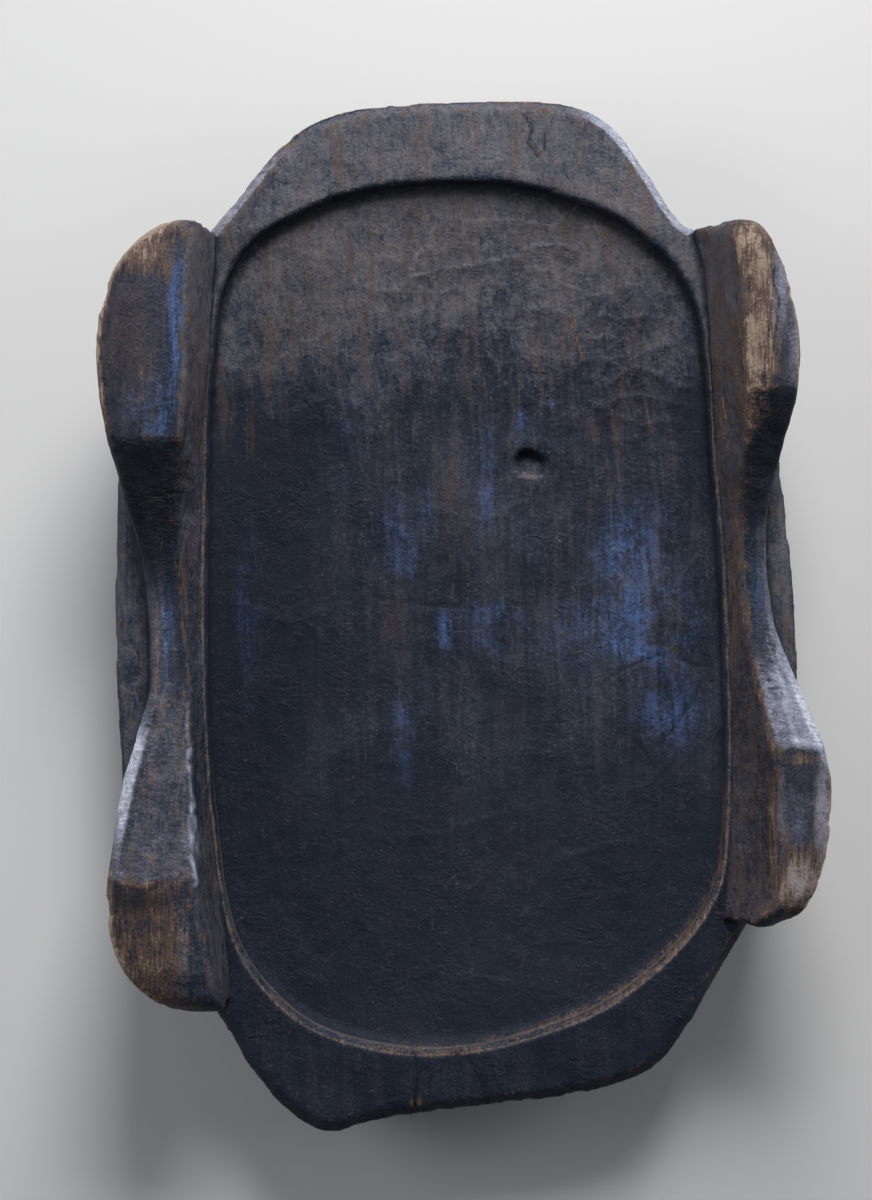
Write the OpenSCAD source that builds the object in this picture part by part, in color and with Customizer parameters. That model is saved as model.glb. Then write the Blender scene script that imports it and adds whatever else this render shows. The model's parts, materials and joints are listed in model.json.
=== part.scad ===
// A shallow wooden serving bowl with a raised rail and two hand grips on each long side.
// It rests on its foot, with the hollow facing +Z, the head end at +Y and the grips at +X and -X.

/* [Overall] */
// Length over the two end ledges
overall_length = 516; // [420:4:620]
// Width over the widest grips
overall_width = 354; // [300:2:430]

/* [Board] */
// Height of the pad that the bowl rests on
foot_height = 6; // [3:1:10]
// Height of the ledges above the table
board_top = 48; // [44:1:60]
// Thickness of the board at its outer edge
edge_thickness = 24; // [16:1:28]
// How far the outer wall leans in from its top to its underside
edge_lean = 5; // [0:1:10]
// Width of the worn bevel round the top of the outer edge
edge_bevel = 5; // [2:1:8]
// Size of the resting pad, as a share of the hollow's outline
foot_share = 0.72; // [0.55:0.01:0.8]

/* [Hollow] */
// Depth of the steep step just inside the rim
rim_step = 8; // [4:1:10]
// Depth of the hollow at its middle, below the ledges
hollow_depth = 22; // [16:1:26]

/* [Rails] */
// Height of the grips above the ledges
grip_height = 40; // [30:1:50]
// Height of the rails above the ledges at their lowest
saddle_height = 15; // [8:1:20]
// How far each rail's outer edge lies below its inner edge at the saddle
saddle_tilt = 4; // [0:1:6]
// How much the rails and grips are crowned across their tops
crown = 1.2; // [0:0.2:3]
// Rounding along the inner edge of the rails
inner_round = 4; // [2:0.5:6]
// Rounding along the outer edge of the rails
outer_round = 7; // [4:0.5:10]

/* [Hidden] */

blackened = [0.13, 0.12, 0.13];
worn_brown = [0.34, 0.22, 0.14];

// The outlines below are drawn for a bowl of this size and stretched to the size asked for.
drawn_length = 516;
drawn_width = 354;
stretch = [overall_width / drawn_width, overall_length / drawn_length];

loop_steps = 3;
row_steps = 3;
corner_steps = 4;

// Each station is a point on the hollow's rim, then the board's edge outside it.
// They run from the middle of the head end, round the left side and back.
stations = [
    [[9, 218.5], [9, 257.5]],
    [[-21, 217.5], [-28, 256]],
    [[-51, 213.5], [-62, 251]],
    [[-76, 205], [-85, 239.5]],
    [[-96, 195], [-105, 218]],
    [[-111, 182.5], [-125, 193.5]],
    [[-120, 165], [-150, 166]],
    [[-124.5, 145], [-163, 142]],
    [[-128, 98], [-171, 98]],
    [[-129, 47.5], [-173, 47.5]],
    [[-129.5, -12], [-174, -5]],
    [[-128, -62], [-171.5, -62]],
    [[-125, -102], [-169, -102]],
    [[-120.5, -137], [-161, -137]],
    [[-114, -162], [-149, -166]],
    [[-104, -180], [-124, -197.5]],
    [[-86.5, -198.5], [-101, -234]],
    [[-66.5, -210], [-72, -257.5]],
    [[-41.5, -216.5], [-45, -253]],
    [[-16.5, -219], [-17, -249]],
    [[13.5, -216], [20, -245]],
    [[43.5, -207.5], [62, -239]],
    [[68.5, -197.5], [96, -227.5]],
    [[93.5, -180], [111, -209]],
    [[113.5, -160], [127, -182]],
    [[126, -140], [145, -151.5]],
    [[131, -122], [159, -128]],
    [[132.5, -92], [168, -90]],
    [[132.5, -52], [168, -45]],
    [[131, -2], [167, -5]],
    [[127.5, 47.5], [163, 47.5]],
    [[124.5, 87.5], [157.5, 87.5]],
    [[122, 127.5], [155, 127.5]],
    [[118.5, 152], [149, 158]],
    [[111, 170], [130, 186]],
    [[98.5, 185], [110, 197]],
    [[78.5, 200], [92, 223]],
    [[58.5, 208.5], [72, 247.5]],
    [[33.5, 215.5], [46, 257]]
];
// The stations where the ledges end and the side boards begin.
head_left = 5;
foot_left = 15;
foot_right = 25;
head_right = 35;

// Each row of a rail is [place along Y, inner foot, inner top, outer top, outer foot, lift].
// The four edges are distances from the centre line, and lift is 0 at the saddle and 1 at a grip.
left_rows = [
    [-191, 116.5, 119.5, 138, 126.5, 0.45],
    [-186, 117, 121.5, 151, 129.5, 0.80],
    [-177, 117.5, 124, 162.5, 135.5, 0.95],
    [-164, 118.5, 127, 170.5, 143, 0.99],
    [-144, 120.5, 131, 174, 151, 1.00],
    [-129, 123, 132.6, 173.5, 156, 1.00],
    [-123, 123.8, 133, 172.8, 157.5, 0.93],
    [-102, 126, 135, 170, 162, 0.71],
    [-78, 128, 136, 165.5, 163, 0.47],
    [-55, 129.3, 137, 159.5, 159, 0.22],
    [-32, 130, 137.5, 154.5, 156, 0.05],
    [8, 130.4, 138.5, 157, 157, 0.03],
    [34, 130.2, 141, 161, 159.5, 0.18],
    [58, 130, 141.5, 166, 163, 0.52],
    [80, 129.6, 139.5, 171.5, 165.5, 0.90],
    [86, 129.4, 139, 173, 166, 1.00],
    [110, 128.5, 137.5, 177.5, 163.5, 1.00],
    [134, 126.8, 136.5, 179, 157, 1.00],
    [163, 125, 136, 173, 146, 1.00],
    [178, 124, 134.5, 163, 135.5, 0.97],
    [187, 123.5, 133.5, 152, 129, 0.85],
    [191, 123, 132.5, 144, 126.5, 0.55]
];
right_rows = [
    [-152, 130, 141, 153, 138, 0.45],
    [-146, 130, 149, 164, 143, 0.80],
    [-134, 131, 156, 171.5, 149, 0.96],
    [-114, 132.8, 157.5, 176.8, 157, 1.00],
    [-85, 133.6, 154.5, 179, 162, 1.00],
    [-65, 133.6, 151.5, 175, 163.5, 1.00],
    [-59, 133.6, 150, 173, 163.5, 0.91],
    [-42, 133.5, 146.5, 167.3, 162.5, 0.62],
    [-25, 133, 143, 161, 159, 0.34],
    [-5, 132.3, 140.5, 154.5, 155, 0.10],
    [17, 130.8, 140, 150.5, 152, 0.02],
    [42, 128.9, 138.5, 149.8, 151, 0.06],
    [60, 127.7, 138, 151.5, 152, 0.24],
    [80, 126.3, 137.5, 155.5, 153, 0.52],
    [104, 125, 138, 161.5, 152, 0.90],
    [111, 124.6, 138, 162.5, 150.5, 1.00],
    [128, 123.5, 137, 163.4, 147, 1.00],
    [144, 122.5, 136, 162.5, 143, 1.00],
    [168, 120.5, 134.5, 157, 134, 1.00],
    [182, 118, 133.5, 150.5, 126, 0.97],
    [190, 115, 133, 145, 121, 0.88],
    [193.5, 113.5, 131.5, 140, 117, 0.60]
];
// The rows where each grip meets its rail.
left_foot_row = 5;
left_head_row = 15;
right_foot_row = 5;
right_head_row = 15;

// A point between p1 and p2 on a smooth curve through all four.
function curve_point(p0, p1, p2, p3, t) =
    p1 + t * (p2 - p0) / 2
    + t * t * (p0 - 2.5 * p1 + 2 * p2 - p3 / 2)
    + t * t * t * (1.5 * p1 - 1.5 * p2 + (p3 - p0) / 2);

// The station at place k, which may be a fraction and may run past the end of the list.
function station(k) =
    let (n = len(stations), i = floor(k), near = [for (j = [-1:2]) stations[(i + j + n) % n]])
    curve_point(near[0], near[1], near[2], near[3], k - i);
function rim(k) = [for (axis = [0, 1]) station(k)[0][axis] * stretch[axis]];
function edge(k) = [for (axis = [0, 1]) station(k)[1][axis] * stretch[axis]];
function loop_places(from, to) = [for (j = [0:(to - from) * loop_steps]) from + j / loop_steps];
function whole_loop() = [for (j = [0:len(stations) * loop_steps - 1]) j / loop_steps];

// Slope of column c of a rail's rows at row i, so that the rows join smoothly.
function row_slope(rows, i, c) =
    let (a = rows[max(i - 1, 0)], b = rows[min(i + 1, len(rows) - 1)])
    (b[c] - a[c]) / (b[0] - a[0]);
// A rail's row at place t of the way from row i to the next one.
function row_between(rows, i, t) =
    let (a = rows[i], b = rows[i + 1], gap = b[0] - a[0])
    [for (c = [0:5])
        let (bend_a = row_slope(rows, i, c) * gap, bend_b = row_slope(rows, i + 1, c) * gap)
        a[c] + t * bend_a + t * t * (3 * (b[c] - a[c]) - 2 * bend_a - bend_b)
        + t * t * t * (2 * (a[c] - b[c]) + bend_a + bend_b)];
function rows_from(rows, from, to) = concat(
    [for (i = [from:to - 1], s = [0:row_steps - 1]) row_between(rows, i, s / row_steps)],
    [rows[to]]);

// The corner at b between a and c, rounded off over a length of r on each side.
function rounded(a, b, c, r) =
    let (start = b + (a - b) * min(r / norm(a - b), 0.45), end = b + (c - b) * min(r / norm(c - b), 0.45))
    [for (j = [0:corner_steps]) let (t = j / corner_steps)
        (1 - t) * (1 - t) * start + 2 * t * (1 - t) * b + t * t * end];

// Outline of a rail across its length, as [distance from the centre line, height above the ledges].
function rail_section(row) =
    let (height = saddle_height + (grip_height - saddle_height) * row[5],
        inner_foot = [row[1], 0], inner_top = [row[2], height],
        outer_top = [row[3], height - saddle_tilt * (1 - row[5])], outer_foot = [row[4], 0])
    concat([inner_foot], rounded(inner_foot, inner_top, outer_top, inner_round),
        [(inner_top + outer_top) / 2 + [0, crown]],
        rounded(inner_top, outer_top, outer_foot, outer_round), [outer_foot]);
function rail_ring(row) =
    [for (p = rail_section(row)) [p[0] * stretch[0], row[0] * stretch[1], board_top + p[1]]];

// Height of the sloping underside on the line from the board's edge to the resting pad.
function underside(k) =
    let (low = board_top - edge_thickness, outer = edge(k), inner = rim(k))
    low + (foot_height - low) * norm(outer - inner) / norm(outer - inner * foot_share);
function raised(p, z) = [p[0], p[1], z];
// Outline of the board across its edge at place k, from the rim's top round to the rim's underside.
function board_ring(k) =
    let (inner = rim(k), outer = edge(k), out = (outer - inner) / norm(outer - inner))
    [raised(inner, board_top), raised(outer - out * edge_bevel, board_top),
        raised(outer, board_top - edge_bevel * 0.8),
        raised(outer - out * edge_lean, board_top - edge_thickness), raised(inner, underside(k))];

// The hollow's shape below its rim, as [share of the rim's outline, depth].
floor_steps = 7;
step_share = 0.975;
function dish(share) = rim_step + (hollow_depth - rim_step) * (1 - pow(share / step_share, 2.2));
function hollow_shares() = concat([[1, 0], [0.992, rim_step * 0.55], [step_share, rim_step]],
    [for (j = [1:floor_steps]) let (share = step_share * (1 - j / (floor_steps + 0.5))) [share, dish(share)]]);

// A closed solid through rings that have the same number of points each, with flat ends.
module skin(rings) {
    count = len(rings[0]);
    last = len(rings) - 1;
    polyhedron(
        points = [for (ring = rings, p = ring) p],
        faces = concat(
            [[for (j = [0:count - 1]) j]],
            [for (i = [0:last - 1], j = [0:count - 1], half = [0, 1])
                let (a = i * count + j, b = i * count + (j + 1) % count, up = count)
                half == 0 ? [a, b + up, b] : [a, a + up, b + up]],
            [[for (j = [count - 1:-1:0]) last * count + j]]));
}

module board_part(from, to) {
    color(blackened) skin([for (k = loop_places(from, to)) board_ring(k)]);
}
module rail_part(rows, from, to) {
    skin([for (row = rows_from(rows, from, to)) rail_ring(row)]);
}

module head_ledge() board_part(head_right, len(stations) + head_left);
module foot_ledge() board_part(foot_left, foot_right);
module left_side_board() board_part(head_left, foot_left);
module right_side_board() board_part(foot_right, head_right);

module bowl_floor() {
    places = whole_loop();
    color(blackened) skin(concat(
        [[for (k = places) raised(rim(k) * foot_share, foot_height)]],
        [[for (k = places) raised(rim(k), underside(k))]],
        [for (step = hollow_shares()) [for (k = places) raised(rim(k) * step[0], board_top - step[1])]]));
}
module resting_foot() {
    color(blackened) linear_extrude(foot_height)
        polygon([for (k = whole_loop()) rim(k) * foot_share]);
}

module left_rail() color(blackened) mirror([1, 0, 0]) rail_part(left_rows, left_foot_row, left_head_row);
module right_rail() color(blackened) rail_part(right_rows, right_foot_row, right_head_row);
module left_head_grip() color(worn_brown) mirror([1, 0, 0])
    rail_part(left_rows, left_head_row, len(left_rows) - 1);
module left_foot_grip() color(worn_brown) mirror([1, 0, 0]) rail_part(left_rows, 0, left_foot_row);
module right_head_grip() color(worn_brown) rail_part(right_rows, right_head_row, len(right_rows) - 1);
module right_foot_grip() color(worn_brown) rail_part(right_rows, 0, right_foot_row);

bowl_floor();
head_ledge();
foot_ledge();
left_side_board();
right_side_board();
left_rail();
right_rail();
left_head_grip();
right_head_grip();
left_foot_grip();
right_foot_grip();
resting_foot();
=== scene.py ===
"""Looks for a carved wooden bowl: one hewn block with a hollow, two ledges and two gripped rails.

The CAD regions are joined into one block, carved with tool marks, wear and cracks, and then divided
again along the same borders, so that each region is a closed piece and no seam shows between them.
Lengths are in metres, but the lists of places, strokes and cuts, the depths that are carved and the
sizes of the material's patterns are in millimetres.
"""
import itertools
import json
import math

import bmesh
import bpy
import numpy as np
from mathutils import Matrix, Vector
from mathutils.bvhtree import BVHTree
from mathutils.kdtree import KDTree


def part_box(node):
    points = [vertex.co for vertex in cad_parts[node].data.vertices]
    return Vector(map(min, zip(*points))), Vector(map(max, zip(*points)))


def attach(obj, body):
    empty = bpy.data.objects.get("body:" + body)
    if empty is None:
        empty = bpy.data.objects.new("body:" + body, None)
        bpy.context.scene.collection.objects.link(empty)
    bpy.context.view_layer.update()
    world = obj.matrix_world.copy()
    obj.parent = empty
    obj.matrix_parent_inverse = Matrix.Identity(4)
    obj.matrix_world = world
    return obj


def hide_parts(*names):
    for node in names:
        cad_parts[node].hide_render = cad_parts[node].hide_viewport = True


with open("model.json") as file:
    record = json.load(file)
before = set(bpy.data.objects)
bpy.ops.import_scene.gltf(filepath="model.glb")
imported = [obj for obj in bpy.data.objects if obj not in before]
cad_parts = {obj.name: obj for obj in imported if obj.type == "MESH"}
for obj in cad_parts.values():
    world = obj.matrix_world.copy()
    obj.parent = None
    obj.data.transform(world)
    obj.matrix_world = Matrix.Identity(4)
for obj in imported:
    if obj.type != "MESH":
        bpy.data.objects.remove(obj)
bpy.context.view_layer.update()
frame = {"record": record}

MM = 0.001
NODES = [s["node"] for s in frame["record"]["subparts"]]
SIDES = ("left", "right")
OUTWARD = {"left": -1, "right": 1}

BOARD_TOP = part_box("head_ledge")[1][2]
FOOT_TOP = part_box("resting_foot")[1][2]


# ---------------------------------------------------------------- camera

CAMERA_DISTANCE = 1.3
VIEW_HEIGHT = 0.600          # how much of the ledges' level the picture takes in, from bottom to top
AIM = Vector((-0.0138, 0.0075, BOARD_TOP))
LEAN_LEFT = math.radians(1.5)
SENSOR = 36.0                # Blender fits this to the picture's longer side


def add_camera():
    data = bpy.data.cameras.new("camera")
    data.sensor_width = SENSOR
    data.lens = SENSOR * CAMERA_DISTANCE / VIEW_HEIGHT
    camera = bpy.data.objects.new("camera", data)
    bpy.context.collection.objects.link(camera)
    camera.location = AIM + CAMERA_DISTANCE * Vector((-math.sin(LEAN_LEFT), 0, math.cos(LEAN_LEFT)))
    camera.rotation_euler = (0, -LEAN_LEFT, 0)
    bpy.context.scene.camera = camera


add_camera()


# ---------------------------------------------------------------- patterns

# Two constants of a common random-number sequence, and an odd number whose bits are well spread.
HASH_STRIDE = 1013904223
HASH_START = 12345
HASH_SPREAD = np.uint64(0x9E3779B97F4A7C15)


def smoothstep(low, high, value):
    t = np.clip((value - low) / (high - low), 0, 1)
    return t * t * (3 - 2 * t)


def bell(middle, width, value):
    """1 where value is middle, falling off over width on both sides."""
    return np.exp(-((value - middle) / width) ** 2)


def hashed(cells, seed):
    """A number from 0 to 1 for each row of whole numbers."""
    h = np.full(len(cells), seed * HASH_STRIDE + HASH_START, dtype=np.uint64)
    for column in cells.T:
        h = (h ^ (column.astype(np.int64) & 0xFFFFFFFF).astype(np.uint64)) * HASH_SPREAD
        h ^= h >> np.uint64(29)
    return (h >> np.uint64(11)).astype(np.float64) / 2 ** 53


def noise(points, size, seed):
    """Smooth noise from -1 to 1 whose bumps are about `size` apart."""
    scaled = points / size
    cell = np.floor(scaled).astype(np.int64)
    t = smoothstep(0, 1, scaled - cell)
    total = np.zeros(len(points))
    for corner in itertools.product((0, 1), repeat=points.shape[1]):
        weight = np.prod(np.where(corner, t, 1 - t), axis=1)
        total += weight * hashed(cell + np.array(corner), seed)
    return total * 2 - 1


def layered_noise(points, size, seed):
    """Noise with finer and fainter noise on top; the whole stays within about -1 to 1."""
    total = np.zeros(len(points))
    for layer in range(3):
        total += noise(points, size / 2 ** layer, seed + layer) / 2 ** layer
    return total / 1.6


def scoops(plan, size, seed, slant=0.0):
    """Hollows left by a rounded blade: 0 at the bottom of a scoop and about 1 on the ridges between.

    slant deepens each scoop towards its lower end, where the blade stopped and left a small step.
    """
    scaled = plan / size
    cell = np.floor(scaled).astype(np.int64)
    nearest = np.full(len(plan), 9.0)
    along = np.zeros(len(plan))
    for offset in itertools.product((-1, 0, 1), repeat=2):
        near = cell + np.array(offset)
        centre = near + 0.12 + 0.76 * np.stack([hashed(near, seed), hashed(near, seed + 7)], axis=1)
        gap = scaled - centre
        distance = (gap ** 2).sum(axis=1)
        closer = distance < nearest
        nearest = np.where(closer, distance, nearest)
        along = np.where(closer, gap[:, 1], along)
    return np.clip(nearest / 0.6, 0, 1.5) + slant * along


# ---------------------------------------------------------------- patches and strokes in plan

def mm(*values):
    return np.array(values) * MM


def across(points):
    """Plan coordinates of each point."""
    return points[:, :2]


def blob(points, centre, radii, turn=0.0):
    """1 at the middle of an oval patch, fading smoothly to 0 at its edge."""
    x, y = (across(points) - mm(*centre)).T
    c, s = math.cos(math.radians(turn)), math.sin(math.radians(turn))
    u, v = (x * c + y * s) / (radii[0] * MM), (y * c - x * s) / (radii[1] * MM)
    return smoothstep(1.0, 0.0, np.hypot(u, v))


def patches(points, places):
    """The strongest of several soft patches, each (middle, half-widths, amount[, turn])."""
    total = np.zeros(len(points))
    for centre, radii, amount, *turn in places:
        total = np.maximum(total, amount * blob(points, centre, radii, *turn))
    return total


def route_distance(points, route):
    """Distance in plan from each point to a route of straight stretches."""
    best = np.full(len(points), np.inf)
    for start, end in zip(route, route[1:]):
        start, end = mm(*start), mm(*end)
        along = end - start
        t = np.clip(((across(points) - start) @ along) / (along @ along), 0, 1)
        gap = across(points) - start - t[:, None] * along
        best = np.minimum(best, np.hypot(gap[:, 0], gap[:, 1]))
    return best


def strokes(points, drawn):
    """The sum of several strokes, each (route, width, amount): full on the route, 0 at half the width."""
    return sum(amount * smoothstep(0.5 * width * MM, 0, route_distance(points, route))
               for route, width, amount in drawn)


def wandered(points):
    """The points, shifted a little, so that a route drawn with them is not quite straight."""
    shift = np.stack([noise(points, 9 * MM, 61), noise(points, 9 * MM, 62), 0 * points[:, 0]], axis=1)
    return points + 1.5 * MM * shift


# ---------------------------------------------------------------- the whole block

VOXEL = 1.25 * MM
WELD = 0.002 * MM            # loose corners closer than this are one corner


def new_object(name, mesh):
    item = bpy.data.objects.new(name, mesh)
    bpy.context.collection.objects.link(item)
    return item


def remove(item):
    mesh = item.data
    bpy.data.objects.remove(item)
    bpy.data.meshes.remove(mesh)


def evaluated(item):
    """The object's mesh with its modifiers applied, as a new mesh."""
    graph = bpy.context.evaluated_depsgraph_get()
    return bpy.data.meshes.new_from_object(item.evaluated_get(graph), depsgraph=graph)


def combine(name, item, other, operation):
    """A new object: item joined to, cut by or kept within other."""
    result = new_object(name, item.data.copy())
    boolean = result.modifiers.new("cut", "BOOLEAN")
    boolean.operation = operation
    boolean.solver = "MANIFOLD"
    boolean.object = other
    mesh = evaluated(result)
    result.modifiers.clear()
    old = result.data
    result.data = mesh
    bpy.data.meshes.remove(old)
    return result


def region_copy(node):
    """A copy of a CAD node with its loose faces welded into one closed surface."""
    bm = bmesh.new()
    bm.from_mesh(bpy.data.objects[node].data)
    bmesh.ops.remove_doubles(bm, verts=bm.verts, dist=WELD)
    bmesh.ops.recalc_face_normals(bm, faces=bm.faces)
    mesh = bpy.data.meshes.new("region")
    bm.to_mesh(mesh)
    bm.free()
    return new_object("region", mesh)


def joined_block():
    """All CAD regions as one closed surface of small even faces."""
    block = region_copy(NODES[0])
    for node in NODES[1:]:
        region = region_copy(node)
        bigger = combine("block", block, region, "UNION")
        remove(block)
        remove(region)
        block = bigger
    remesh = block.modifiers.new("remesh", "REMESH")
    remesh.mode = "VOXEL"
    remesh.voxel_size = VOXEL
    fine = evaluated(block)
    remove(block)
    return fine


class Surface:
    """The block's surface as arrays, with the measures that the carving needs."""

    def __init__(self, mesh):
        self.mesh = mesh
        count = len(mesh.vertices)
        self.points = np.empty(count * 3)
        mesh.vertices.foreach_get("co", self.points)
        self.points = self.points.reshape(-1, 3)
        self.edges = np.empty(len(mesh.edges) * 2, dtype=np.int32)
        mesh.edges.foreach_get("vertices", self.edges)
        self.edges = self.edges.reshape(-1, 2)
        self.neighbours = np.bincount(self.edges.ravel(), minlength=count)

    def mean_of_neighbours(self, values):
        a, b = self.edges.T
        columns = values.reshape(len(values), -1)
        total = np.stack([np.bincount(a, c[b], len(values)) + np.bincount(b, c[a], len(values))
                          for c in columns.T], axis=1)
        return (total / self.neighbours[:, None]).reshape(values.shape)

    def blurred(self, values, passes):
        for _ in range(passes):
            values = 0.5 * values + 0.5 * self.mean_of_neighbours(values)
        return values

    def smooth(self, passes, share=1.0):
        """Rounds the surface off; share says how much."""
        for _ in range(passes):
            self.points += 0.5 * share * (self.mean_of_neighbours(self.points) - self.points)

    def store(self):
        self.mesh.vertices.foreach_set("co", self.points.ravel())
        self.mesh.update()

    def normals(self):
        self.store()
        found = np.empty(len(self.points) * 3)
        self.mesh.vertex_normals.foreach_get("vector", found)
        return found.reshape(-1, 3)

    def push(self, depth):
        """Moves each point inwards by depth, given in millimetres."""
        self.points -= self.normals() * (depth * MM)[:, None]

    def bulge(self, passes):
        """How far each point stands proud of its blurred surroundings."""
        return ((self.points - self.blurred(self.points, passes)) * self.normals()).sum(axis=1)


def node_points(node):
    return [tuple(v.co) for v in bpy.data.objects[node].data.vertices]


def rim_outline():
    """The rim of the hollow in plan, in order round the middle."""
    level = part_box("bowl_floor")[1][2]
    ring = {(round(x, 6), round(y, 6)) for x, y, z in node_points("bowl_floor") if z > level - 0.01 * MM}
    return sorted(ring, key=lambda p: math.atan2(p[1], p[0]))


def rim_share(points):
    """Each point's distance from the middle as a share of the rim's distance in that direction."""
    outline = np.array(rim_outline())
    angle = np.arctan2(outline[:, 1], outline[:, 0])
    reach = np.hypot(outline[:, 0], outline[:, 1])
    own = np.arctan2(points[:, 1], points[:, 0])
    return np.hypot(points[:, 0], points[:, 1]) / np.interp(own, angle, reach, period=2 * math.pi)


class Regions:
    """How much each point belongs to each region of the block, from 0 to 1.

    rim is the share from rim_share: below 1 inside the hollow and above 1 outside it.
    """

    def __init__(self, surface):
        points, normals = surface.points, surface.normals()
        self.up = normals[:, 2]
        self.height = points[:, 2] - BOARD_TOP
        self.rim = rim_share(points)
        self.hollow = smoothstep(1.0, 0.985, self.rim) * smoothstep(0.2, 0.6, self.up)
        self.above = smoothstep(0.5 * MM, 4 * MM, self.height)
        self.top = smoothstep(0.35, 0.8, self.up)
        self.under = smoothstep(-0.1, -0.5, self.up)
        self.steep = (1 - self.top) * (1 - self.under) * (1 - self.hollow)
        self.ledge = self.top * (1 - self.above) * smoothstep(0.99, 1.01, self.rim)
        side, end = normals[:, 0] * np.sign(points[:, 0]), normals[:, 1] * np.sign(points[:, 1])
        self.outward = np.maximum(side, end * smoothstep(140 * MM, 160 * MM, np.abs(points[:, 1])))
        # the slopes and faces of the rails and grips, by the way they face
        self.to_head = self.above * smoothstep(0.10, 0.24, normals[:, 1])
        self.to_foot = self.above * smoothstep(-0.10, -0.24, normals[:, 1])
        self.inner_face = self.above * smoothstep(-0.3, -0.6, side)
        self.flank = self.above * smoothstep(0.5, 0.8, self.outward) * smoothstep(-0.3, 0.0, self.up)
        self.shoulder = self.above * smoothstep(0.2, 0.45, self.outward) * smoothstep(0.0, 0.25, self.up)


# ---------------------------------------------------------------- carving

# Turns a plan so that rows of cuts run aslant.
TURNED = np.array([[0.82, 0.57], [-0.57, 0.82]])

# Cuts and cracks in plan: route, width and depth; a negative depth stands proud.
CUTS = [
    ([(31, 250), (34, 243), (33, 236), (38, 229)], 3.0, 0.7), ([(41, 240), (41, 232)], 3.0, 0.5),
    ([(-25, -218), (-22, -228), (-24, -246)], 2.8, 1.0), ([(-17, -226), (-16, -240)], 2.6, 0.5),
    ([(2, -222), (9, -233), (12, -248)], 2.6, 0.6), ([(14, -226), (20, -240)], 2.4, 0.4),
    ([(-44, 8), (-30, 6.5), (-12, 5), (6, 3)], 2.6, 0.35), ([(76, -32), (98, -20), (126, -26)], 3.6, 0.30),
    ([(103, -62), (112, -48), (119, -36)], 4.0, 0.30), ([(88, -63), (97, -76)], 3.0, 0.4),
    ([(-163, 54), (-150, 58), (-140, 61)], 2.6, 0.4), ([(150, 128), (151, 150), (149, 168)], 2.4, 0.5),
    ([(-172, -128), (-158, -131), (-146, -126), (-138, -124)], 5.0, -0.5),
]
PIT = (35, 76.5)
PIT_SIZE = (9.0, 7.0)


def blade_marks(points, zone):
    """Depth of the blade's hollows: crisp near the bowl's head end, wide and faint elsewhere."""
    wander = np.stack([noise(points, 30 * MM, 11), noise(points, 30 * MM, 12)], axis=1) * 5 * MM
    plan = across(points) + wander
    from_side = np.stack([points[:, 1], points[:, 2] + 0.3 * points[:, 0]], axis=1)
    facets = smoothstep(-0.35, 0.35, noise(points, 45 * MM, 14))
    near_head = np.clip(2 * blob(points, (50, 150), (130, 80), -25), 0, 1) * (0.3 + 0.7 * facets)
    # where, how deep, seen from where, size of one scoop, seed, slant
    marks = [
        (zone.hollow * near_head, 0.95, plan, (15, 11), 3, 0.9),
        (zone.hollow * (0.4 + facets), 0.45, plan, (46, 60), 5, 0.5),
        (zone.ledge, 0.45, plan, (30, 22), 9, 0),
        (zone.steep, 0.6, from_side, (26, 16), 13, 0),
        (zone.above * zone.top, 0.5, plan, (17, 21), 15, 0),
        (zone.to_head + zone.to_foot, 0.30, plan @ TURNED, (16, 6), 16, 0.6),
        (zone.under, 0.9, plan, (30, 22), 17, 0.6),
    ]
    return sum(where * deep * (0.5 - scoops(seen_from, mm(*size), seed, slant))
               for where, deep, seen_from, size, seed, slant in marks)


def leaning_out(points, zone):
    """How far the sides come out: by what the smoothing drew in, and more on the rails' outer sides."""
    lean = np.where(points[:, 0] < 0, 2.2, 1.1) * smoothstep(5 * MM, 24 * MM, zone.height)
    return 0.6 * zone.steep + smoothstep(0.2, 0.8, zone.outward) * lean


def low_lip(points, zone):
    """Height of the lip between each rail's inner face and the hollow."""
    stretch = smoothstep(120 * MM, 80 * MM, points[:, 1]) * smoothstep(-175 * MM, -120 * MM, points[:, 1])
    return 0.6 * bell(1.005, 0.012, zone.rim) * stretch * smoothstep(0.1, 0.5, zone.up)


def knot_pit(points):
    """Depth of the pit left by a knot, with a faint raised ring round it."""
    x, y = ((across(points) - mm(*PIT)) / mm(*PIT_SIZE)).T
    pit = smoothstep(1.10, 0.66, np.hypot(x, y + 0.15 * np.sin(3 * x)))
    ring = bell(1.6, 0.35, np.hypot(x * 0.8, y))
    return pit * (3.2 + 1.6 * y) - 0.35 * ring


def worn_edges(surface, zone):
    """Depth worn or chipped away along the edges that stand proud."""
    points = surface.points
    proud = np.clip(surface.bulge(6) / (0.35 * MM), 0, 1.5)
    chipped = smoothstep(0.15, 0.5, noise(points, 11 * MM, 31) + 0.4 * noise(points, 4 * MM, 32))
    off_hollow = (1 - zone.hollow) * (points[:, 2] > 6 * MM)
    return off_hollow * proud * (0.05 + 0.8 * chipped)


def carve(surface, zone):
    """Gives the block the marks of its making and use. The points move with each push."""
    points = surface.points
    uneven = 0.6 * layered_noise(points, 70 * MM, 21) + 0.22 * layered_noise(points, 9 * MM, 25)
    depth = blade_marks(points, zone) + uneven - leaning_out(points, zone)
    surface.push(np.where(points[:, 2] < 2.5 * MM, 0, depth))
    surface.push(-low_lip(points, zone))
    surface.push(zone.hollow * knot_pit(points))
    surface.push(strokes(wandered(points), CUTS) * smoothstep(0.2, 0.6, zone.up))
    surface.push(worn_edges(surface, zone))
    surface.smooth(1, 0.4)
    surface.store()
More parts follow.
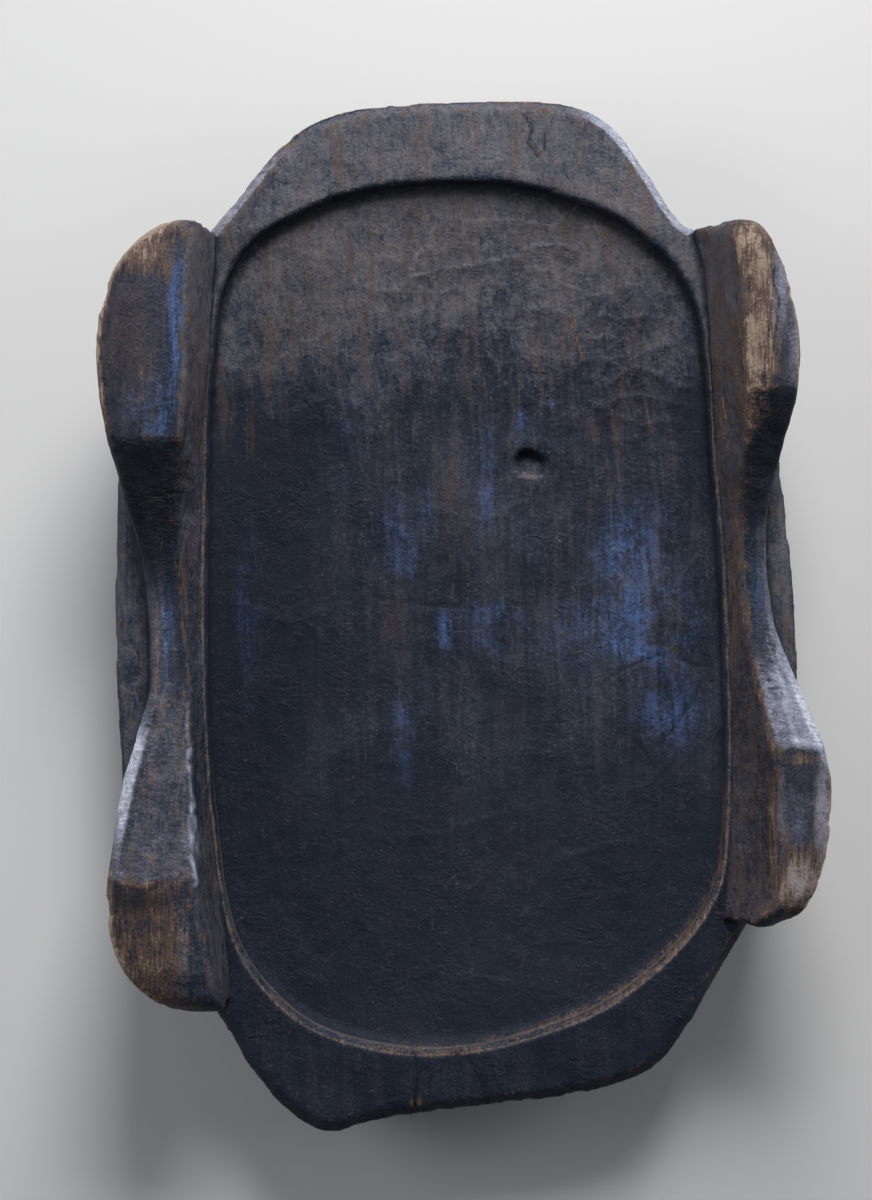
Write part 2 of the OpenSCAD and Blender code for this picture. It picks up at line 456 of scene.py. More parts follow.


# ---------------------------------------------------------------- wear, stains and dust, with painted light, shade and sheen

# Soft patches in plan: middle and half-widths, how strong, and for some how far turned (degrees).
WORN_PLACES = [
    ((-156, 184), (34, 24), 1.0, 35), ((-146, 176), (8, 30), 0.5), ((-160, 120), (20, 60), 0.10),
    ((-153, -160), (40, 52), 0.52), ((-150, -190), (38, 26), 0.42), ((-140, -160), (10, 40), 0.45),
    ((-139, -130), (9, 12), 0.45), ((-158, -182), (26, 12), 0.45), ((142, 150), (16, 76), 0.57),
    ((140, 186), (14, 16), 0.65), ((126, 120), (6, 90), 0.20), ((151, -100), (4, 44), 0.7),
    ((173, -100), (7, 46), 0.8), ((163, -130), (18, 24), 1.0), ((164, -70), (18, 5), 0.5),
    ((134, 20), (5, 90), 0.20), ((-152, -20), (4, 46), 0.5), ((132, -90), (8, 60), 0.15),
]
WORN_SHOULDERS = [
    ((-170, 140), (40, 100), 1.0), ((-170, -160), (40, 70), 0.8), ((165, 150), (40, 100), 0.8),
    ((175, -115), (34, 74), 0.9), ((-154, -20), (20, 50), 0.5),
]
# Painted highlight where the rails catch the key light: patches, inner edges and shoulders (this list and the
# next two).
HIGHLIGHT_PLACES = [
    ((168, -46), (14, 36), 0.45, 18), ((161, -94), (12, 34), 0.36), ((153, 160), (8, 44), 0.55),
    ((163, -130), (14, 22), 0.42), ((-150, -110), (14, 24), 0.08), ((173, -96), (7, 42), 0.75),
    ((154, -96), (4, 36), 0.45), ((-137, -160), (5, 40), 0.30), ((160, 132), (8, 40), 0.40),
]
HIGHLIGHT_EDGES = [((-136, -97), (8, 54), 0.4), ((152, -40), (8, 50), 0.6)]
HIGHLIGHT_SHOULDERS = [
    ((-163, -84), (22, 56), 1.6, 10), ((158, 10), (16, 90), 0.6, 8), ((170, -44), (16, 40), 0.55),
    ((-150, -10), (14, 50), 0.3),
]
# Darker patches; the first three are painted shade on the saddles below the head grips, which face away from
# the key light.
DARK_AND_SHADED_PLACES = [
    ((-156, 58), (18, 34), 0.6), ((149, 84), (15, 36), 0.6, 8), ((150, 45), (8, 36), 0.6),
    ((-159, -138), (20, 11), 0.95), ((161, -88), (8, 22), 0.5), ((-166, 130), (8, 40), 0.2),
]
# Dusty patches; the first is a painted highlight on the knot pit's foot-side lip, which faces the light.
DUSTY_AND_LIT_PLACES = [
    ((35, 71), (11, 4), 1.4), ((90, 10), (50, 60), 0.40), ((84, 96), (56, 76), 0.30),
    ((-52, 165), (70, 40), 0.35), ((16, 70), (96, 84), 0.20), ((60, 140), (60, 34), 0.2),
    ((20, -120), (60, 40), 0.15),
]
# Darker patches in the hollow; the long first one, down its left side, is painted shade.
DEEP_PLACES = [
    ((-106, 0), (70, 230), 1.5), ((30, -46), (48, 34), 0.8, -10), ((-60, -40), (50, 60), 0.35),
    ((-40, 60), (40, 40), 0.3), ((114, 90), (12, 50), 0.3),
]
# Painted sheen: bluish reflections of the light on the polished patina, put into the colour.
SHEEN_PLACES = [
    ((12, 68), (6, 40), 1.0), ((-18, 56), (5, 16), 1.0), ((-26, 36), (5, 26), 0.9),
    ((-32, 40), (12, 40), 0.45), ((-9, -8), (6, 16), 1.2), ((15, 0), (22, 10), 1.0),
    ((22, -12), (26, 12), 0.45), ((44, 105), (8, 7), 1.0, 40), ((30, 98), (6, 16), 0.7),
    ((86, 28), (30, 42), 1.1), ((92, 2), (38, 36), 1.15), ((88, -18), (34, 10), 1.2, -14),
    ((104, -48), (24, 32), 0.75), ((62, -10), (32, 24), 0.5), ((-108, 0), (10, 70), 0.45),
    ((-30, -60), (12, 40), 0.35), ((-152, 97), (18, 24), 0.75), ((-148, -8), (7, 40), 0.8),
    ((-141, -142), (5, 30), 0.8), ((162, -92), (9, 26), 0.55), ((146, 20), (8, 44), 0.45),
    ((-60, 90), (16, 30), 0.25),
]
RED_PLACES = [
    ((-6, 62), (10, 54), 0.75), ((3, 40), (7, 40), 0.5), ((-34, -8), (18, 44), 0.55),
    ((106, 80), (4, 18), 0.8), ((-100, 80), (20, 30), 0.2), ((60, 60), (40, 20), 0.25),
    ((-163, 140), (24, 64), 0.95), ((-40, 80), (12, 40), 0.4), ((92, 122), (34, 50), 0.45),
    ((-156, -150), (34, 50), 0.9), ((150, 150), (24, 70), 0.6), ((170, -110), (20, 60), 0.5),
    ((-152, 60), (6, 200), 0.4),
]

# Strokes in plan: route, width and how strong.
WORN_STROKES = [([(54, 152), (58, 141), (62, 130)], 2.6, 0.75), ([(129, 108), (130, 97)], 2.4, 0.6)]
# Painted highlight along the rails' inner edges and the creases at the foot grips.
HIGHLIGHT_STROKES = [
    ([(-135.5, -44), (-135, -70)], 3.4, 0.35), ([(-135, -66), (-134, -95)], 3.6, 0.6),
    ([(-134, -92), (-131.5, -130)], 4.6, 0.9), ([(151, 0), (156, -34), (161, -62)], 5, 0.45),
    ([(-169, -124), (-158, -129), (-147, -125), (-138, -127)], 4, 0.18),
    ([(162, -60), (172, -63), (183, -62)], 4, 0.5),
]
# Painted sheen along the left rail's inner ridge and in the hollow.
SHEEN_STROKES = [
    ([(-140, 168), (-141, 140), (-143, 118), (-147, 90)], 12, 0.85),
    ([(90, -14), (112, -24), (106, -56)], 4, 0.7),
]
DIRTY_CRACKS = [(route, 0.8 * width, 0.45) for route, width, depth in CUTS if depth > 0]

RIM_SPAN = 40                # the rim field changes by 1 over this distance


class Paint:
    """How the wood's colour changes at each point of the carved block, painted light, shade and sheen
    included: one method for each field.
    """

    def __init__(self, surface, zone):
        points = surface.points
        self.points, self.zone = points, zone
        self.x, self.y = points[:, 0], points[:, 1]
        self.left, self.right = self.x < 0, self.x > 0
        self.rough = layered_noise(points, 26 * MM, 41)
        self.fine = layered_noise(points, 6 * MM, 45)
        self.uneven = smoothstep(-0.8, 0.3, self.rough + 0.7 * self.fine)
        self.wandering = wandered(points)
        self.seen = smoothstep(-0.2, 0.1, zone.up)
        off_hollow = 1 - zone.hollow
        bulge = surface.bulge(5) / (0.3 * MM)
        self.edge = np.clip(bulge, 0, 1) * off_hollow
        self.groove = np.clip(-bulge, 0, 1)
        self.crease = np.clip(-surface.bulge(14) / (0.8 * MM), 0, 1) * off_hollow
        self.rim_band = self.seen * bell(1.006, 0.008, zone.rim) * (1 - zone.above)
        # the slope from each rail's saddle up to its foot grip
        self.slope = zone.to_head * smoothstep(-2 * MM, -40 * MM, self.y)
        self.slope *= smoothstep(-140 * MM, -125 * MM, self.y)
        # the sloping outer edge of the head ledge, and how much of it is the right corner
        self.bevel = smoothstep(0.96, 0.86, zone.up) * smoothstep(0.0, 0.3, zone.up) * off_hollow
        self.bevel *= (1 - zone.above) * (1 - self.rim_band) * smoothstep(0.0, 0.15, zone.outward)
        self.bevel *= smoothstep(110 * MM, 130 * MM, self.y)
        self.corner = smoothstep(45 * MM, 75 * MM, self.x)
        # the clean inner strip of the right rail, where the painted shade below the head grip begins further
        # out than on the left
        border = (134 + 14 * smoothstep(70 * MM, 106 * MM, self.y) + 3 * self.rough) * MM
        self.bare = smoothstep(3 * MM, -3 * MM, self.x - border) * self.right

    def fields(self):
        found = {"wear": self.wear(), "ashy_highlight": self.ashy_highlight(), "dark_and_shade": self.dark_and_shade(), "dust_and_light": self.dust_and_light(),
                 "deep": self.deep(), "painted_sheen": self.painted_sheen(), "red": self.red(), "rim": self.rim()}
        return {name: np.clip(values, 0, 1) for name, values in found.items()}

    def patches(self, places):
        return patches(self.points, places)

    def strokes(self, drawn):
        return strokes(self.wandering, drawn)

    def wear(self):
        """Down to bare wood: on edges and where hands held it; and along the rim and on the head ledge's left
        bevel, a painted highlight where they face the light.
        """
        zone, y = self.zone, self.y
        wear = 0.75 * self.edge * smoothstep(-0.5, 0.3, self.rough + self.fine) * (1 - zone.shoulder)
        wear *= smoothstep(1.02, 1.04, zone.rim)
        wear *= 1 - 0.5 * smoothstep(-170 * MM, -200 * MM, y) * (1 - zone.above)
        # painted highlight along the rim's step, fading out at the head end, where the step faces away from
        # the light
        wear += 0.26 * self.rim_band * smoothstep(130 * MM, 60 * MM, y) * self.uneven
        handled = (0.5 + 0.5 * self.uneven) * (1 - zone.to_foot * (y > 0))
        wear += zone.above * self.patches(WORN_PLACES) * handled
        wear += 0.14 * zone.inner_face * self.right * (0.4 + 0.6 * self.uneven)
        wear += zone.flank * smoothstep(10 * MM, 26 * MM, zone.height) * self.patches(WORN_SHOULDERS)
        wear += self.seen * self.strokes(WORN_STROKES)
        # the hollow's upper edge at its foot end, most on the right: painted highlight where it faces the
        # light
        lip = self.seen * smoothstep(1.010, 1.002, zone.rim) * smoothstep(0.972, 0.984, zone.rim)
        lip *= smoothstep(-60 * MM, -130 * MM, y) * (0.5 + 0.5 * self.uneven)
        wear += (0.10 + 0.16 * smoothstep(-90 * MM, 60 * MM, self.x)) * lip
        # painted highlight on the left part of the head ledge's bevel, which catches the light
        wear += 0.22 * self.bevel * (1 - self.corner) * smoothstep(-0.3, 0.5, self.rough)
        wear += 0.26 * self.bare * zone.above * zone.top * smoothstep(0, 40 * MM, y) * self.uneven
        return wear

    def ashy_highlight(self):
        """Pale lavender-grey, a painted highlight: on the slopes, shoulders, inner edges, creases and bevel
        that face the key light, and on the rim's step towards the foot end.
        """
        zone, y = self.zone, self.y
        ashy_highlight = zone.above * self.patches(HIGHLIGHT_PLACES) + 0.9 * self.edge * self.patches(HIGHLIGHT_EDGES)
        ashy_highlight += zone.shoulder * self.patches(HIGHLIGHT_SHOULDERS)
        # painted highlight on the rim's step towards the foot end, which faces the light
        ashy_highlight += 0.16 * self.rim_band * smoothstep(100 * MM, -60 * MM, y)
        broken = 0.25 + 0.75 * smoothstep(-0.5, 0.4, self.fine)
        ashy_highlight += zone.above * self.strokes(HIGHLIGHT_STROKES) * broken
        # painted highlight on the slopes up to the foot grips, which face the key light
        ashy_highlight += self.slope * np.where(self.left, 0.11, 0.42)
        # painted highlight on the head ledge's bevel, brightest at the right corner
        ashy_highlight += self.bevel * np.maximum(0.85 * self.corner, 0.5 * smoothstep(238 * MM, 222 * MM, y))
        return ashy_highlight

    def dark_and_shade(self):
        """Darker: in grooves, creases and cracks; painted shade below the head grips and down the hollow's
        left side, and painted shadow under the rim's step at the head end and on the head side of the knot
        pit.
        """
        zone, y = self.zone, self.y
        dark_and_shade = 0.8 * self.groove + 0.4 * self.crease + self.seen * self.strokes(DIRTY_CRACKS)
        # painted shade: the slopes below the head grips face away from the key light
        below_grips = 0.72 * zone.to_foot * smoothstep(0, 30 * MM, y)
        dark_and_shade += (below_grips + zone.above * self.patches(DARK_AND_SHADED_PLACES)) * (1 - self.bare)
        # painted shadow on the head side of the knot pit, and painted shade down the hollow's left side
        pit_shadow = blob(self.points, (35, 81), (11, 6))
        left_side = blob(self.points, (-112, 0), (62, 190))
        dark_and_shade += zone.hollow * (pit_shadow + 0.45 * left_side)
        # painted shadow under the rim's step at the head end, whose wall faces away from the light
        step = smoothstep(0.966, 0.984, zone.rim) * smoothstep(1.0, 0.99, zone.rim)
        dark_and_shade += 0.8 * self.seen * step * smoothstep(60 * MM, 140 * MM, y)
        return dark_and_shade

    def dust_and_light(self):
        """Dusty brown-grey, most at the head end: partly dust, partly painted light that grows towards the
        key light there.
        """
        zone, y = self.zone, self.y
        height = y + 26 * MM * self.rough + 12 * MM * self.fine - 0.10 * self.x
        fade = smoothstep(70 * MM, 200 * MM, height) + self.patches(DUSTY_AND_LIT_PLACES)
        beside_rails = (1 - zone.above) * zone.top * smoothstep(1.12, 1.2, zone.rim)
        beside_rails *= smoothstep(110 * MM, 90 * MM, np.abs(y))
        # the hollow, the head ledge and the inner faces grow paler towards the head end, partly dust and
        # partly painted light from the key light there; the left slope up to the foot grip, which faces that
        # light, is painted paler too
        return np.maximum.reduce([
            zone.hollow * (0.10 + 0.95 * np.clip(fade, 0, 1.3)),
            zone.ledge * (0.12 + 0.76 * smoothstep(-120 * MM, 150 * MM, y)),
            zone.inner_face * (0.60 + 0.30 * smoothstep(0, 150 * MM, y)),
            0.62 * self.slope * self.left,
            0.75 * beside_rails,
        ])

    def deep(self):
        """The deepest bluish black: painted shade towards the foot end, away from the key light, and down the
        hollow's left side, with darker patches of patina.
        """
        zone = self.zone
        foot_end = smoothstep(-20 * MM, -130 * MM, self.y + 20 * MM * self.rough)
        return np.maximum(0.95 * (zone.hollow + 0.72 * zone.ledge) * foot_end,
                          zone.hollow * self.patches(DEEP_PLACES))

    # Painted sheen: bluish reflections of the light, put into the colour.
    def painted_sheen(self):
        brushed = smoothstep(-0.5, 0.5, self.fine + 0.5 * self.rough)
        return self.seen * np.maximum(self.patches(SHEEN_PLACES) * brushed, self.strokes(SHEEN_STROKES))

    def red(self):
        return np.maximum(self.seen * self.patches(RED_PLACES) * (0.4 + 0.6 * self.uneven),
                          self.zone.inner_face * np.where(self.left, 0.12, 0.70))

    def rim(self):
        """0.5 on the hollow's rim, more outside it, so that the material can draw a fine line there."""
        beyond = (self.zone.rim - 1) * np.hypot(self.x, self.y)
        return np.where(self.zone.under > 0, 1, 0.5 + beyond / (RIM_SPAN * MM))


# ---------------------------------------------------------------- dividing the block again

TOUCHING = 0.001 * MM        # a piece's corner this close to one of the block's is that corner
ON_SKIN = 0.02 * MM          # and this close to the block's skin it lies on the skin
AGREEING = 0.2               # a face on the skin faces as the block does, at least by this cosine


class Finish:
    """The whole block's shading and fields, to be handed to its pieces so that no border shows."""

    def __init__(self, surface, fields):
        self.normals = surface.normals()
        self.fields = fields
        self.corners = KDTree(len(surface.points))
        for index, point in enumerate(surface.points):
            self.corners.insert(point, index)
        self.corners.balance()
        self.skin = BVHTree.FromPolygons(surface.points.tolist(),
                                         [tuple(p.vertices) for p in surface.mesh.polygons])

    def dress(self, piece):
        mesh = piece.data
        nearest = np.empty(len(mesh.vertices), dtype=np.int64)
        on_skin = np.zeros(len(mesh.vertices), dtype=bool)
        for vertex in mesh.vertices:
            _, index, gap = self.corners.find(vertex.co)
            nearest[vertex.index] = index
            if gap < TOUCHING or self.skin.find_nearest(vertex.co, ON_SKIN)[0] is not None:
                on_skin[vertex.index] = True
        for name, values in self.fields.items():
            layer = mesh.attributes.new(name, "FLOAT", "POINT")
            layer.data.foreach_set("value", values[nearest].astype(np.float32))
        mesh.polygons.foreach_set("use_smooth", [True] * len(mesh.polygons))
        # faces on the block's skin are shaded like the whole block, and faces along a border are flat
        shared = self.normals[nearest]
        shading = [Vector((0, 0, 0))] * len(mesh.loops)
        for face in mesh.polygons:
            corners = list(face.vertices)
            agreement = face.normal.dot(Vector(shared[corners[0]]))
            outer = agreement > AGREEING and all(on_skin[c] for c in corners)
            for loop, corner in zip(face.loop_indices, corners):
                shading[loop] = shared[corner] if outer else face.normal
        mesh.normals_split_custom_set(shading)


FAR = 1.0                    # well beyond the block on every side
SEAT = 1.5 * MM              # how deep the rails' border lies in the board
MARGIN = 3.0 * MM            # how far the rails' border lies outside their foot
COLLAR = 2 * MM              # up to here above the board the border goes straight up
FLARE = 80 * MM              # above that it spreads out by this much over FLARE_HEIGHT
FLARE_HEIGHT = 100 * MM
AT_BOARD = 0.01 * MM         # a point no higher than this above the board's top is on the board


def cutter_through(rings):
    """A closed solid through rings of equally many points, each (height, outline)."""
    bm = bmesh.new()
    rows = [[bm.verts.new((x, y, height)) for x, y in outline] for height, outline in rings]
    count = len(rows[0])
    for lower, upper in zip(rows, rows[1:]):
        for i in range(count):
            j = (i + 1) % count
            bm.faces.new((lower[i], lower[j], upper[j], upper[i]))
    bm.faces.new(rows[0])
    bm.faces.new(rows[-1])
    bmesh.ops.triangulate(bm, faces=bm.faces)
    bmesh.ops.recalc_face_normals(bm, faces=bm.faces)
    mesh = bpy.data.meshes.new("cutter")
    bm.to_mesh(mesh)
    bm.free()
    return new_object("cutter", mesh)


def prism(outline, low, high):
    return cutter_through([(low, outline), (high, outline)])


def box_between(low, high):
    (x0, y0, z0), (x1, y1, z1) = low, high
    return prism([(x0, y0), (x1, y0), (x1, y1), (x0, y1)], z0, z1)


def rail_outline(side, margin):
    """The outline of a whole rail's foot, widened by margin."""
    foot = {}
    for part in ("foot_grip", "rail", "head_grip"):
        for x, y, z in node_points(f"{side}_{part}"):
            if z < BOARD_TOP + AT_BOARD:
                foot.setdefault(round(y, 5), []).append(abs(x))
    rows = sorted(foot.items())
    inner = [(min(xs) - margin, y) for y, xs in rows]
    outer = [(max(xs) + margin, y) for y, xs in rows]
    for edge in (inner, outer):
        edge[0] = (edge[0][0], edge[0][1] - margin)
        edge[-1] = (edge[-1][0], edge[-1][1] + margin)
    return [(OUTWARD[side] * x, y) for x, y in outer + inner[::-1]]


def rail_cutter(side):
    """Holds a whole rail with its grips, leaning sides included."""
    narrow = rail_outline(side, MARGIN)
    wide = rail_outline(side, MARGIN + FLARE)
    straight_to = BOARD_TOP + COLLAR
    spread_to = straight_to + FLARE_HEIGHT
    return cutter_through([(BOARD_TOP - SEAT, narrow), (straight_to, narrow), (spread_to, wide)])


def shared_border(node_a, node_b):
    """The inner and outer ends, in plan, of the border between two parts of the board."""
    rounded = [{tuple(round(c, 5) for c in p) for p in node_points(n)} for n in (node_a, node_b)]
    common = sorted({(x, y) for x, y, z in rounded[0] & rounded[1]}, key=lambda p: p[0] ** 2 + p[1] ** 2)
    return Vector(common[0]), Vector(common[-1])


def ledge_wedge(end):
    """Everything beyond the borders of the head or the foot ledge, in plan."""
    corners = {}
    for side in SIDES:
        inner, outer = shared_border(f"{end}_ledge", f"{side}_side_board")
        corners[side] = (inner, outer + (outer - inner).normalized() * FAR)
    beyond = FAR if end == "head" else -FAR
    return [corners["left"][0], corners["left"][1], Vector((-FAR, beyond)) * 2,
            Vector((FAR, beyond)) * 2, corners["right"][1], corners["right"][0]]


def take(name, item, cutter):
    """Divides item along cutter, which is used up: what lies within it, and the rest."""
    inside = combine(name, item, cutter, "INTERSECT")
    rest = combine(item.name, item, cutter, "DIFFERENCE")
    remove(item)
    remove(cutter)
    return inside, rest


def divided(mesh):
    """The block's pieces, by node name."""
    found = {}
    rest = new_object("rest", mesh)
    below = box_between((-FAR, -FAR, -FAR), (FAR, FAR, FOOT_TOP))
    found["resting_foot"], rest = take("resting_foot", rest, below)
    for side in SIDES:
        rail, rest = take("rail", rest, rail_cutter(side))
        low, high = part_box(f"{side}_rail")
        for end, y0, y1 in (("head", high[1], FAR), ("foot", -FAR, low[1])):
            beyond = box_between((-FAR, y0, -FAR), (FAR, y1, FAR))
            found[f"{side}_{end}_grip"], rail = take("grip", rail, beyond)
        found[f"{side}_rail"] = rail
    found["bowl_floor"], rest = take("floor", rest, prism(rim_outline(), -FAR, FAR))
    for end in ("head", "foot"):
        found[f"{end}_ledge"], rest = take("ledge", rest, prism(ledge_wedge(end), -FAR, FAR))
    left_half = box_between((-FAR, -FAR, -FAR), (0, FAR, FAR))
    found["left_side_board"], found["right_side_board"] = take("board", rest, left_half)
    return found


# ---------------------------------------------------------------- materials

class Shader:
    """A short way to write a material's nodes."""

    def __init__(self, name):
        self.material = bpy.data.materials.new(name)
        self.material.use_nodes = True
        self.tree = self.material.node_tree
        self.tree.nodes.clear()
        self.place = self.add("ShaderNodeTexCoord").outputs["Object"]

    def add(self, kind, **settings):
        node = self.tree.nodes.new(kind)
        for key, value in settings.items():
            setattr(node, key, value)
        return node

    def feed(self, socket, value):
        if isinstance(value, bpy.types.NodeSocket):
            self.tree.links.new(value, socket)
        elif isinstance(value, tuple) and len(value) == 3 and socket.type == "RGBA":
            socket.default_value = (*value, 1)
        else:
            socket.default_value = value

    def math(self, operation, *values):
        node = self.add("ShaderNodeMath", operation=operation)
        for socket, value in zip(node.inputs, values):
            self.feed(socket, value)
        return node.outputs[0]

    def product(self, first, *others):
        for value in others:
            first = self.math("MULTIPLY", first, value)
        return first

    def total(self, *terms, middle=0.0):
        """The sum of each value's distance from middle, times its weight."""
        total = -middle * sum(weight for value, weight in terms)
        for value, weight in terms:
            total = self.math("MULTIPLY_ADD", value, weight, total)
        return total

    def gap(self, value, place):
        return self.math("ABSOLUTE", self.math("SUBTRACT", value, place))

    def step(self, value, low, high):
        """Runs from 0 to 1 as value goes from low to high."""
        node = self.add("ShaderNodeMapRange", interpolation_type="SMOOTHSTEP")
        self.feed(node.inputs["Value"], value)
        self.feed(node.inputs["From Min"], low)
        self.feed(node.inputs["From Max"], high)
        return node.outputs["Result"]

    def mix(self, share, a, b):
        node = self.add("ShaderNodeMix", data_type="RGBA")
        self.feed(node.inputs["Factor"], share)
        self.feed(node.inputs["A"], a)
        self.feed(node.inputs["B"], b)
        return node.outputs["Result"]

    def turned(self, degrees, features, shift=0.0):
        """The place, shifted, turned about +Z and measured in features of these sizes (mm)."""
        node = self.add("ShaderNodeMapping", vector_type="TEXTURE")
        self.feed(node.inputs["Vector"], self.place)
        node.inputs["Location"].default_value = (shift, shift, 0)
        node.inputs["Rotation"].default_value = (0, 0, math.radians(degrees))
        node.inputs["Scale"].default_value = tuple(f * MM for f in features)
        return node.outputs["Vector"]

    def noise(self, size, detail, vector=None, rough=0.55, warp=0.0):
        """Cloudy noise with features of about size mm, or about size in the units of a given vector."""
        node = self.add("ShaderNodeTexNoise")
        self.feed(node.inputs["Vector"], vector or self.place)
        node.inputs["Scale"].default_value = 1 / (size * MM) if vector is None else 1 / size
        node.inputs["Detail"].default_value = detail
        node.inputs["Roughness"].default_value = rough
        node.inputs["Distortion"].default_value = warp
        return node.outputs["Fac"]

    def along(self, axis, vector):
        split = self.add("ShaderNodeSeparateXYZ")
        self.feed(split.inputs["Vector"], vector)
        return split.outputs[axis]

    def field(self, name):
        return self.add("ShaderNodeAttribute", attribute_name=name).outputs["Fac"]

    def end(self, colour, roughness, specular):
        """Ends the material with one principled shader, and returns that shader."""
        shader = self.add("ShaderNodeBsdfPrincipled")
        self.feed(shader.inputs["Base Color"], colour)
        self.feed(shader.inputs["Roughness"], roughness)
        self.feed(shader.inputs["Specular IOR Level"], specular)
        out = self.add("ShaderNodeOutputMaterial")
        self.tree.links.new(shader.outputs[0], out.inputs["Surface"])
        return shader


# The blackened skin, from dark to light, and the bluish colour of the painted sheen; the two darkest also
# paint shade.
BLACK = (0.003, 0.004, 0.007)
DEEP = (0.008, 0.011, 0.021)
PATINA = (0.023, 0.029, 0.046)
SLATE = (0.062, 0.069, 0.095)
SHEEN_BLUE = (0.078, 0.140, 0.340)

# Stains and dust on it, and the pale greys of painted highlight; the dust colour also paints light at the
# head end, and the fleck colour a highlight on the rim's foot-end step.
UMBER = (0.058, 0.040, 0.040)
DUST = (0.180, 0.156, 0.146)
FLECK = (0.260, 0.215, 0.185)
ASHY_HIGHLIGHT = (0.300, 0.315, 0.400)
BRIGHT_HIGHLIGHT = (0.560, 0.570, 0.640)

# The wood under it, from barely to fully worn, also used for painted highlight along the rim and on the head
# ledge's left bevel.
BROWN = (0.096, 0.060, 0.043)
TAN = (0.300, 0.222, 0.168)
PALE = (0.500, 0.440, 0.400)

# Hairline scratches: direction (degrees), width and length (mm), and how strong.
SCRATCHES = ((4, 0.45, 26, 0.7), (-9, 0.5, 20, 0.8), (62, 0.5, 16, 0.7), (-50, 0.5, 18, 0.8),
             (86, 0.45, 14, 0.8))
SHEEN = 0.28
SHEEN_TINT = (0.72, 0.82, 1.0)
BUMP_DEPTH = 0.9 * MM
BUMP_STRENGTH = 0.9


